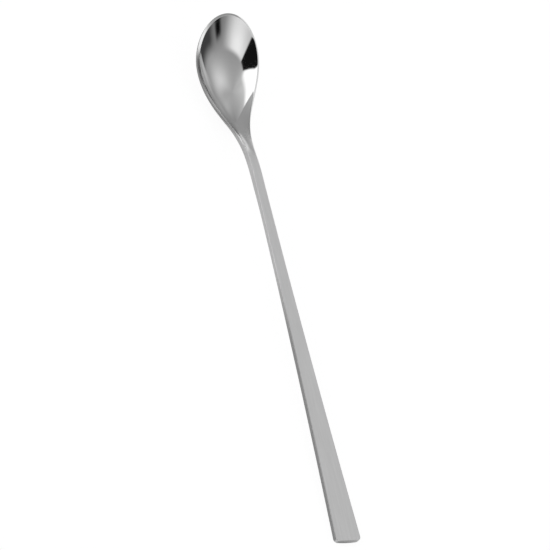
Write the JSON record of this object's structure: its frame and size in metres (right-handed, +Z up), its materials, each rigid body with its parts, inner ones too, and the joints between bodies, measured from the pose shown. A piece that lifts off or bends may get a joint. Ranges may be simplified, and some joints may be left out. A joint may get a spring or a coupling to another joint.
{
  "type": "iced tea spoon",
  "caption": "Long iced tea spoon of stainless steel: a deep egg-shaped bowl with a mirror polish and a flat satin handle that widens to a squared end.",
  "frame": {"origin": "on the table under the middle of the spoon's length, where it lies at rest on the belly of the bowl and the end of the handle", "axes": "+Y along the spoon towards the tip of the bowl, +Z up out of the bowl, X across it"},
  "size_m": [0.0252, 0.1994, 0.02],
  "materials": {
    "bowl_steel": "polished",
    "handle_steel": "satin"
  },
  "bodies": {
    "root": {"bowl": "bowl_steel", "handle": "handle_steel"}
  },
  "joints": []
}
